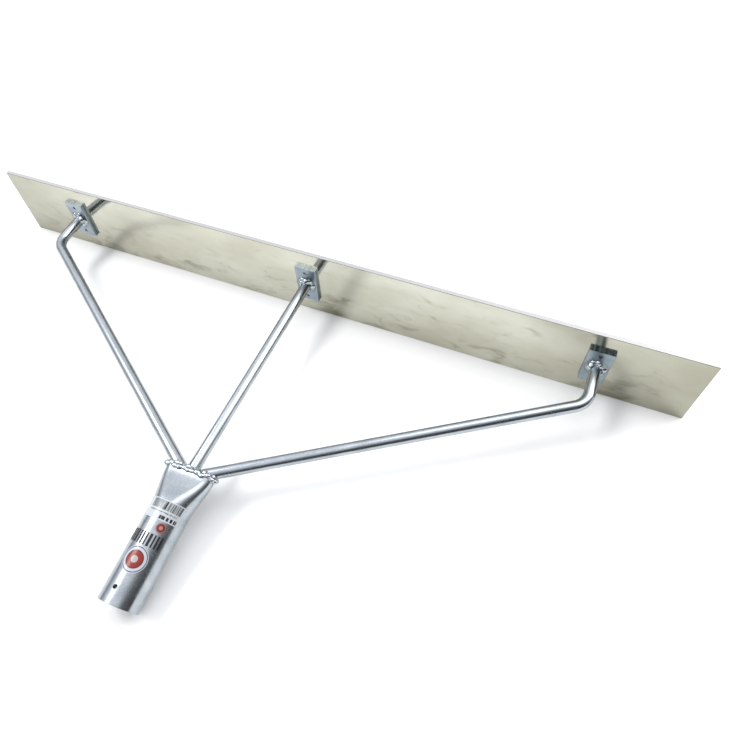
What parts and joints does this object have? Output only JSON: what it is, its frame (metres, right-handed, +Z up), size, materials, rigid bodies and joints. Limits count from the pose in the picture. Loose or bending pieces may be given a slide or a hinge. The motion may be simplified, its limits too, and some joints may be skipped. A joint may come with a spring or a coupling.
{
  "type": "bull float",
  "caption": "Long-handled concrete float: a narrow straight metal blade on edge, held by welded rods that meet in a tilted round socket for a pole.",
  "frame": {"origin": "middle of the blade's lower long edge, half way through the blade's thickness", "axes": "+X along the blade, +Y from the handle to the working side, +Z up across the blade"},
  "size_m": [1, 0.4526, 0.105],
  "materials": {
    "mill_aluminium": "satin mill surface with smudges",
    "zinc_plate": "satin zinc plating",
    "zinc_rod": "bright zinc plating",
    "zinc_tube": "bright zinc plating",
    "zinc_screw": "zinc plating",
    "weld_bead": "plated weld metal",
    "white_label": "printed film",
    "black_label": "printed film",
    "red_label": "printed film",
    "badge_label": "printed film"
  },
  "bodies": {
    "root": {"blade": "mill_aluminium", "mounting_plate_left": "zinc_plate", "brace_left": "zinc_rod", "plate_weld_left": "weld_bead", "blade_screw_left_lower": "zinc_screw", "blade_screw_left_upper": "zinc_screw", "mounting_plate_centre": "zinc_plate", "brace_centre": "zinc_rod", "plate_weld_centre": "weld_bead", "blade_screw_centre_lower": "zinc_screw", "blade_screw_centre_upper": "zinc_screw", "mounting_plate_right": "zinc_plate", "brace_right": "zinc_rod", "plate_weld_right": "weld_bead", "blade_screw_right_lower": "zinc_screw", "blade_screw_right_upper": "zinc_screw", "handle_socket": "zinc_tube", "crown_weld": "weld_bead", "barcode_label": "white_label", "name_label": "black_label", "dot_label": "red_label", "badge_label": "badge_label"}
  },
  "joints": []
}
